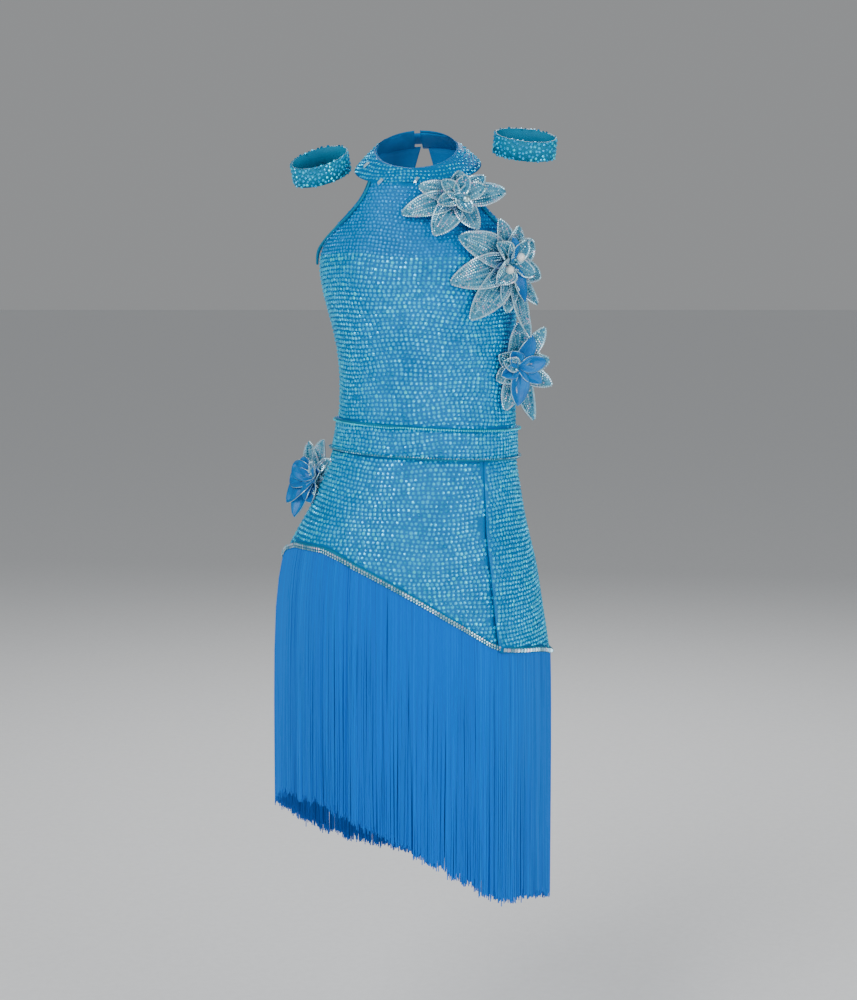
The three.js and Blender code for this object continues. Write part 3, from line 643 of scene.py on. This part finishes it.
def stone_rows(tree, low, high, pitch, size, keep, margin):
    """Rows of stones laid round the body like scales, every other row half a step on."""
    seats, row, level = [], 0, low
    while level < high:
        around = -math.pi + (row % 2) * pitch / ROW_OFFSET
        while around < math.pi:
            z = level + row_wave(around, level) + chance.uniform(-0.5, 0.5) * mm
            hit = radial_hit(tree, around, z)
            reach = USUAL_REACH
            if hit:
                reach = (hit[0] - AXIS).xy.length
                beside = margin / reach
                sides = ((around - beside, z), (around + beside, z))
                ends = ((around, z - margin), (around, z + margin))
                probes = [radial_hit(tree, a, h) for a, h in sides + ends]
                flush = all(p and abs((p[0] - AXIS).xy.length - reach) < FLUSH for p in probes)
                if flush and keep(around, z):
                    normal = hit[1] + Vector([chance.uniform(-0.18, 0.18) for _ in range(3)])
                    width = size * chance.uniform(0.84, 1.06)
                    place = seat(hit[0], normal, outwards(around + math.pi / 2), (width, width, size))
                    seats.append((place, clamped(chance.gauss(0.42, 0.24))))
            around += pitch * chance.uniform(0.9, 1.1) / reach
        row += 1
        level += pitch * ROW_SHARE
    return seats


def anywhere(around, z):
    return True


def above_belt(around, z):
    return z > belt_high.at(around).z + EDGE_GAP


def below_belt(around, z):
    return z < belt_low.at(around).z - EDGE_GAP and z > hem_high.at(around).z + HEM_GAP


def before_fold(around, z):
    """The front panel's stones stop at the shaded valley beside the drape, which widens towards the hem."""
    valley = (5 + 75 * max(0.0, FOLD_TOP - z)) * mm / USUAL_REACH
    return below_belt(around, z) and around < fold_at(z) - valley


def covered(name, tree, low, high, pitch, size, keep, finish=BLUE_STONES, margin=1.6 * mm):
    """Rows of stones between two heights, as one piece."""
    rows = stone_rows(tree, low, high, pitch, size, keep, margin)
    scattered(name, rows, HEX, finish)


bodice_tree = surface_of(front, back_left, back_right)
covered("bodice_stones", bodice_tree, 0.0, CHEST_LINE, COVER_PITCH, COVER_SIZE, above_belt)
covered("chest_stones", bodice_tree, CHEST_LINE, 0.335, FINE_PITCH, FINE_SIZE, above_belt, FINE_STONES)
covered("belt_stones", surface_of(belt), -0.03, 0.04, COVER_PITCH * 0.94, COVER_SIZE, anywhere)
covered("collar_stones", surface_of(collar), 0.26, 0.36, COLLAR_PITCH, COLLAR_SIZE, anywhere, margin=mm)
for name, cloth, keep in (
    ("skirt_front_stones", skirt_front, before_fold),
    ("skirt_drape_stones", skirt_drape, below_belt),
    ("skirt_back_stones", skirt_back, below_belt),
):
    covered(name, surface_of(cloth), -0.29, 0.0, COVER_PITCH, COVER_SIZE, keep)


def front_hit(tree, x, z):
    """The cloth met from straight in front."""
    point, normal, _, _ = tree.ray_cast(Vector((x, -IN_FRONT, z)), Vector((0, 1, 0)), LOOK_THROUGH)
    return point, normal if normal.y < 0 else -normal


BAGUETTES = (  # across and up in mm, slant in degrees, half length in mm
    (-71, 326, 62, 5.6),
    (-54, 306, 40, 5.2),
    (-12, 307, 78, 6.6),
    (-5, 298, 20, 4.4),
)
collar_tree = surface_of(collar, front)
baguettes = []
for x, z, slant, half in BAGUETTES:
    spot, normal = front_hit(collar_tree, x * mm, z * mm)
    lean = Vector((math.cos(math.radians(slant)), 0, math.sin(math.radians(slant))))
    size = (half * mm * 1.2, 2.6 * mm, 3.4 * mm)
    baguettes.append((seat(spot, normal, lean, size, lift=1.2 * mm), 0.52))
scattered("collar_baguettes", baguettes, SQUARE, SILVER_STONES)


STREWN_TRIES = 6000


def strewn(piece, centre, spacing, size):
    """Stones packed closely at random over the outside of a ring."""
    depsgraph = bpy.context.evaluated_depsgraph_get()
    shaped = piece.evaluated_get(depsgraph).to_mesh()
    shaped.calc_loop_triangles()
    triangles, spots, seats = [], [], []
    for t in shaped.loop_triangles:
        a, b, c = (shaped.vertices[i].co.copy() for i in t.vertices)
        middle = (a + b + c) / 3
        if t.normal.dot(middle - centre) > 0.4 * (middle - centre).length:
            triangles.append((a, b, c, t.normal.copy(), t.area))
    piece.evaluated_get(depsgraph).to_mesh_clear()
    weights = [t[4] for t in triangles]
    for a, b, c, normal, _ in chance.choices(triangles, weights, k=STREWN_TRIES):
        u, v = chance.random(), chance.random()
        if u + v > 1:
            u, v = 1 - u, 1 - v
        spot = a + (b - a) * u + (c - a) * v
        if all((spot - other).length_squared > spacing * spacing for other in spots):
            spots.append(spot)
            place = seat(spot, normal, Vector((0, 0.1, 1)), (size, size, size))
            seats.append((place, chance.random() ** 1.4))
    return seats


for side, cuff in cuffs.items():
    seats = strewn(cuff, middle_of(f"wrist_cuff_{side}"), 4.1 * mm, 1.9 * mm)
    scattered(f"cuff_stones_{side}", seats, HEX, BLUE_STONES, f"cuff_{side}")

# ------------------------------------------------------------------ stone chains on the edges


LEVEL_HEM_HEIGHT = -0.25
LEVEL_HEM_END = 2.2


def anywhere_round(around):
    return True


def chain(name, line, lift, rise, pitch, size, finish, bright, stone=HEX, keep=anywhere_round):
    """Stones side by side on a line, lifted off it and raised above it; all lengths are in mm."""
    size *= mm
    seats = []
    for point, along in line.along(pitch * mm):
        around = bearing(point)
        if not keep(around):
            continue
        out = outwards(around)
        spot = point + out * (lift * mm) + Vector((0, 0, rise * mm))
        seats.append((seat(spot, out, along, (size, size, size)), clamped(chance.gauss(bright, 0.12))))
    scattered(name, seats, stone, finish)


def level_hem(around):
    """True from the fold round to the back, where the hem doesn't slant."""
    return fold_at(LEVEL_HEM_HEIGHT) - 0.02 < around < LEVEL_HEM_END


def slanted_hem(around):
    return not level_hem(around)


chain("hem_chain_upper", hem_low, 0.5, 4.6, 3.7, 1.7, SILVER_STONES, 0.46, HEX, slanted_hem)
chain("hem_chain_lower", hem_low, 0.5, 1.4, 3.7, 1.5, SILVER_STONES, 0.36, HEX, slanted_hem)
chain("hem_blocks", hem_low, 0.3, 3.0, 5.4, 3.4, SILVER_STONES, 0.45, SQUARE, level_hem)
# The upper chain is tinted near the blue stones' bright, painted-glint end; the lower chain is tinted dark,
# painted shade for the shadow line under the belt's lower edge.
chain("belt_chain_upper", belt_high, 0.9, -1.0, 3.0, 1.3, BLUE_STONES, 0.9)
chain("belt_chain_lower", belt_low, 0.9, 1.0, 3.4, 1.1, SILVER_STONES, 0.25)

# ------------------------------------------------------------------ fringe

BUNDLES = 12
STRANDS = 340
STRAND_RADIUS = 0.74 * mm
FRINGE_LENGTH = 305 * mm
BULGE = 12 * mm  # how far the fringe stands out over the hip
LOCKS = 14


def unit_strand():
    """A square-sided strand from z 0 down to z -1, cut into lengths that can bend."""
    bm = bmesh.new()
    bmesh.ops.create_cone(bm, cap_ends=True, segments=4, radius1=0.75, radius2=1, depth=1)
    bmesh.ops.translate(bm, verts=bm.verts, vec=(0, 0, -0.5))
    for cut in (0.03, 0.1, 0.22, 0.4, 0.6, 0.8):
        everything = bm.verts[:] + bm.edges[:] + bm.faces[:]
        bmesh.ops.bisect_plane(bm, geom=everything, plane_co=(0, 0, -cut), plane_no=(0, 0, 1))
    shape = bpy.data.meshes.new("unit_strand")
    bm.to_mesh(shape)
    bm.free()
    return shape


def bearing_from(slab):
    """Bearings counted from the middle of a slab, so that none wraps round at the back."""
    middle = bearing(middle_of(slab))

    def away(point):
        return (bearing(point) - middle + math.pi) % (2 * math.pi) - math.pi

    return away


def top_ends(slab):
    """The two ends of a slab's top edge."""
    bm = cad_mesh(slab)
    points = [v.co.copy() for v in bm.verts]
    bm.free()
    away = bearing_from(slab)
    sides = (min(map(away, points)), max(map(away, points)))
    return [max((p for p in points if abs(away(p) - side) < 0.03), key=lambda p: p.z) for side in sides]


def bundle_of(name, slab, shape):
    """Three layers of strands along the slab's top edge, gathered into loose locks."""
    ends = top_ends(slab)
    start, stop = bearing(ends[0]), bearing(ends[1])
    if stop < start:
        stop += 2 * math.pi
    local = np.empty(len(shape.vertices) * 3)
    shape.vertices.foreach_get("co", local)
    local = local.reshape(-1, 3)
    parts, strand_tones_and_shade = [], []
    lock_phase = [chance.uniform(0, 6.28) for _ in range(40)]
    for k in range(STRANDS):
        layer = k % 3
        share = 1.02 * (k + chance.random()) / STRANDS - 0.01
        around = start + (stop - start) * share
        root = hem_low.at(around)
        out = outwards(around)
        side = outwards(around + math.pi / 2)
        inset = (2.2 + 1.5 * layer + chance.uniform(-0.4, 0.4)) * mm
        root = root - out * inset + Vector((0, 0, 2.5 * mm))
        lock = int(share * LOCKS)
        length = FRINGE_LENGTH + chance.gauss(0, 3.0) * mm + 3 * mm * math.sin(lock_phase[lock])
        down = -local[:, 2]
        fall = 1 - np.exp(-down * 6)
        flare = (BULGE * max(0.0, -math.sin(around)) ** 2 + 2.0 * mm - 1.2 * mm * layer) * fall
        drift = (chance.gauss(0, 1.1) + 0.7 * math.sin(lock_phase[lock + LOCKS])) * mm * down
        wave = 0.5 * mm * np.sin(down * chance.uniform(5, 9) + lock_phase[lock])
        x = root.x + STRAND_RADIUS * local[:, 0] + out.x * flare + side.x * (drift + wave)
        y = root.y + STRAND_RADIUS * local[:, 1] + out.y * flare + side.y * (drift + wave)
        z = root.z - down * length
        parts.append(np.c_[x, y, z])
        # Tone varies at random and by lock; each inner layer is darker, painted shade for the strands behind
        # the outer ones.
        strand_tones_and_shade.append(clamped(chance.gauss(0.68 - 0.2 * layer + 0.05 * math.sin(lock_phase[lock]), 0.13)))
    points = np.concatenate(parts)
    polygons = [list(p.vertices) for p in shape.polygons]
    size = len(local)
    faces = [[k * size + i for i in polygon] for k in range(STRANDS) for polygon in polygons]
    mesh = bpy.data.meshes.new(name)
    mesh.from_pydata(points, [], faces)
    tint = mesh.attributes.new("strand_tone_and_shade", "FLOAT", "POINT")
    tint.data.foreach_set("value", np.repeat(strand_tones_and_shade, size))
    mesh.materials.append(YARN)
    piece = bpy.data.objects.new(name, mesh)
    bpy.context.scene.collection.objects.link(piece)
    along = (ends[1] - ends[0]).normalized()
    down = (along * along.z - Vector((0, 0, 1))).normalized()
    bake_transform(piece)
    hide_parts(slab)


strand = unit_strand()
for number in range(1, BUNDLES + 1):
    bundle_of(f"strands_{number:02d}", f"fringe_{number:02d}", strand)

# ------------------------------------------------------------------ flowers

FORM_BEND = 100 * mm  # a flower's petals wrap round the body by this radius
SIDE_BEND = 260 * mm  # and less towards the wearer's left
OUTER_FOLD, INNER_FOLD, SATIN_FOLD = 0.45, 0.8, 0.9
OUTER_BASE, INNER_BASE, SATIN_BASE = 3 * mm, 7 * mm, 6 * mm
PETAL_PITCH, PETAL_STONE = 2.9 * mm, 1.4 * mm

covering = surface_of(front, back_left, back_right, skirt_front, skirt_drape, skirt_back, belt)


class Seat:
    """A flower's place on the form, with its own across, up and out directions; lengths are in mm."""

    def __init__(self, backing, shift, turned, forward):
        middle = middle_of(backing)
        around = bearing(middle) + shift[0] * mm / FORM_BEND
        spot, normal = radial_hit(covering, around, middle.z + shift[1] * mm)
        facing = (normal.normalized() * (1 - turned) + Vector((0, -1, 0)) * turned).normalized()
        self.centre = spot + normal.normalized() * forward * mm
        self.usual = radial_hit(covering, bearing(middle), middle.z)[0] + normal.normalized() * 2 * mm
        self.out = facing
        self.across = Vector((0, 0, 1)).cross(self.out).normalized()
        self.up = self.out.cross(self.across).normalized()

    def at(self, x, y, height):
        """A place x across and y up, wrapped round the form, and a height off it."""
        bend = SIDE_BEND if x > 0 else FORM_BEND
        turn = x / bend
        reach = bend + height
        wrapped = self.across * (reach * math.sin(turn)) + self.out * (reach * math.cos(turn) - bend)
        return self.centre + wrapped + self.up * y


class Leaf:
    """One petal: a pointed leaf with a fold along its middle that lifts off the cloth."""

    def __init__(self, home, turn, reach, half, lift, fold, base, plain=False):
        self.plain = plain
        self.home, self.turn = home, math.radians(turn)
        self.reach, self.half, self.lift = reach * mm, half * mm, lift * mm
        self.fold, self.base = fold, base

    def width(self, t):
        """Half the petal's width, t of the way from its foot to its tip."""
        return self.half * (max(t, 0.0) ** 0.62) * (max(1 - t, 0.0) ** 0.8) / 0.379

    def at(self, t, s):
        along = self.reach * t
        aside = self.width(t) * s
        height = self.base + self.lift * t * t + self.fold * abs(aside)
        height += 0.9 * mm * math.sin(9 * t + self.turn)
        x = along * math.cos(self.turn) - aside * math.sin(self.turn)
        y = along * math.sin(self.turn) + aside * math.cos(self.turn)
        return self.home.at(x, y, height)

    def normal(self, t, s):
        e = 0.02
        a = self.at(t + e, s) - self.at(t - e, s)
        b = self.at(t, s + 0.1) - self.at(t, s - 0.1)
        return a.cross(b).normalized()

    def build(self, bm):
        fresh = bmesh.ops.create_grid(bm, x_segments=12, y_segments=6, size=1)["verts"]
        for vert in fresh:
            vert.co = self.at((vert.co.x + 1) / 2 * 0.985 + 0.01, vert.co.y)
            for face in vert.link_faces:
                face.material_index = 1 if self.plain else 0

    def stone(self, t, s, size, tint):
        toward = self.at(t + 0.02, s) - self.at(t, s)
        return (seat(self.at(t, s), self.normal(t, s), toward, (size, size, size), 0.1 * mm), tint)

    def stones(self, pitch, size):
        """Rows of stones that follow the petal's sides, and a brighter row round its rim."""
        seats = []
        lanes = max(2, int(self.half / pitch))
        for lane in range(-lanes, lanes + 1):
            s = lane / lanes
            rim = abs(lane) == lanes
            step = pitch / self.reach * (0.72 if rim else 1.0)
            t = 0.08 if rim else 0.12 + 0.5 * step * (lane % 2)
            while t < (0.985 if rim else 0.92):
                room = self.width(t) / lanes
                if rim or room > 0.62 * pitch or (lane % 2 == 0 and room > 0.4 * pitch):
                    tint = chance.gauss(0.5, 0.04) if rim else chance.gauss(0.44 if lane % 2 else 0.2, 0.11)
                    # A few stones take the pink or green end of the ramp: painted glints.
                    if chance.random() < 0.07:
                        tint = chance.uniform(0.62, 1.0)
                    place, cut = (s * 0.97, size * 1.05) if rim else (s, size * 0.95)
                    seats.append(self.stone(t, place, cut, max(0, tint)))
                t += step
        return seats


def flower(name, outer, inner, satin_leaves=(), shift=(0, 0), turned=0.0, forward=0.0):
    """A flower's petals in one piece, with its stones; a petal is (turn, reach, half width, lift)."""
    home = Seat(f"{name}_backing", shift, turned, forward)
    leaves = [Leaf(home, *petal, OUTER_FOLD, OUTER_BASE) for petal in outer]
    leaves += [Leaf(home, *petal, INNER_FOLD, INNER_BASE) for petal in inner]
    leaves += [Leaf(home, *petal, SATIN_FOLD, SATIN_BASE, True) for petal in satin_leaves]
    bm = bmesh.new()
    for leaf in leaves:
        leaf.build(bm)
    bmesh.ops.remove_doubles(bm, verts=bm.verts, dist=1e-6)
    bmesh.ops.recalc_face_normals(bm, faces=bm.faces)
    for face in bm.faces:
        if face.normal.dot(home.out) < 0:
            face.normal_flip()
    petals = made(f"{name}_leaves", bm, [PETAL_BASE, SATIN, PETAL_EDGE], smooth=True)
    thick = petals.modifiers.new("two_layers", "SOLIDIFY")
    thick.thickness = 1.1 * mm
    thick.offset = -1
    thick.use_even_offset = False
    thick.material_offset = 1
    thick.material_offset_rim = 2
    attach(petals, "dress")
    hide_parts(f"{name}_petals")
    seats = [s for leaf in leaves if not leaf.plain for s in leaf.stones(PETAL_PITCH, PETAL_STONE)]
    scattered(f"{name}_stones", seats, HEX, SILVER_STONES)
    moved = home.centre - home.usual
    panel(f"{name}_backing", f"{name}_felt", SATIN, 1, shape=lambda point: point + moved)


flower(
    "collar_flower",
    [(8, 62, 14, 12), (36, 44, 11, 10), (82, 32, 11, 10), (158, 46, 12, 6),
     (192, 66, 14, 6), (234, 56, 15, 8), (292, 44, 14, 10)],
    [(20, 32, 10, 12), (75, 24, 9, 16), (140, 26, 9, 16), (200, 28, 9, 14), (285, 24, 9, 15)],
    shift=(-9, 0),
)
flower(
    "chest_flower",
    [(24, 60, 16, 10), (62, 50, 15, 9), (104, 54, 15, 7), (152, 76, 19, 5), (192, 84, 20, 4),
     (224, 90, 18, 5), (252, 62, 15, 7), (277, 92, 15, 12), (304, 62, 14, 14), (344, 60, 15, 12)],
    [(50, 32, 11, 14), (140, 36, 12, 12), (215, 42, 13, 12), (330, 32, 11, 14)],
    [(275, 48, 11, 12), (100, 30, 10, 14)],
)
flower(
    "side_flower",
    [(14, 36, 12, 16), (58, 56, 12, 14), (96, 54, 12, 14), (150, 30, 11, 12),
     (208, 32, 12, 10), (250, 54, 12, 10), (284, 66, 11, 12), (330, 44, 12, 16)],
    [(160, 24, 9, 14)],
    [(15, 30, 10, 14), (75, 40, 10, 14), (125, 24, 9, 14),
     (200, 26, 9, 14), (262, 46, 11, 12), (320, 30, 9, 14)],
    shift=(-22, -2),
    turned=0.55,
    forward=10,
)
flower(
    "hip_flower",
    [(35, 42, 12, 16), (75, 50, 12, 14), (105, 46, 12, 14), (330, 34, 12, 14)],
    [(60, 22, 8, 15)],
    [(150, 30, 12, 16), (190, 30, 13, 14), (232, 44, 13, 12), (262, 52, 13, 10),
     (300, 36, 12, 12), (20, 24, 10, 15), (110, 26, 11, 16)],
    shift=(14, 0),
    turned=0.5,
    forward=8,
)


# ------------------------------------------------------------------ pearls and zip teeth

TOOTH_PITCH = 1.5 * mm
TOOTH_LEAN = 1.1 * mm
TOOTH_DEPTH = 1.6 * mm  # set in from the coil's outer face
TOOTH_SIZE = (1.9 * mm, 0.8 * mm, 1.6 * mm)
COIL_THICKNESS = 3.2 * mm


def round_pearl(name, node_name):
    low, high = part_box(node_name)
    centre = middle_of(node_name)
    bm = bmesh.new()
    bmesh.ops.create_uvsphere(bm, u_segments=24, v_segments=14, radius=(high[2] - low[2]) / 2)
    for vert in bm.verts:
        vert.co = vert.co * (1 + 0.02 * math.sin(40 * vert.co.x / mm)) + centre
    pearl = made(name, bm, [PEARL], smooth=True)
    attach(pearl, "dress")
    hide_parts(node_name)


def zip_teeth():
    """The coil's teeth, which lean in from the left and right by turns."""
    low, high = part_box("zip_coil")
    foot = Vector(((low[0] + high[0]) / 2, low[1] + COIL_THICKNESS, low[2]))
    head = Vector((foot.x, high[1], high[2]))
    seats, walked, side = [], 1 * mm, 1
    while walked < (head - foot).length - 2 * mm:
        spot = foot.lerp(head, walked / (head - foot).length)
        spot += Vector((side * TOOTH_LEAN, -TOOTH_DEPTH, 0))
        seats.append((seat(spot, Vector((0, 1, 0)), Vector((1, 0, 0)), TOOTH_SIZE), 0.5))
        walked += TOOTH_PITCH
        side = -side
    scattered("zip_teeth", seats, SQUARE, TAPE)


zip_teeth()
round_pearl("pearl_upper", "chest_flower_pearl_left")
round_pearl("pearl_lower", "chest_flower_pearl_right")
panel("collar_flower_centre", "collar_flower_heart", PETAL_EDGE)

# ------------------------------------------------------------------ cut areas and the studio


def cut_area(node_name):
    """A panel's cut, in square metres: one face of its thin solid, which is half the solid's surface."""
    bm = cad_mesh(node_name)
    area = sum(face.calc_area() for face in bm.faces) / 2
    bm.free()
    return area


# Each panel's cut: the area of one face of its solid, in square metres; the results are not kept.
cut_area("bodice_front")
cut_area("bodice_lining")
cut_area("bodice_back_left")
cut_area("bodice_back_right")
cut_area("collar_band")
cut_area("collar_lining")
cut_area("belt_band")
cut_area("skirt_front")
cut_area("skirt_side_drape")
cut_area("skirt_back")
cut_area("brief_front")
cut_area("brief_back")
cut_area("gusset")

studio()
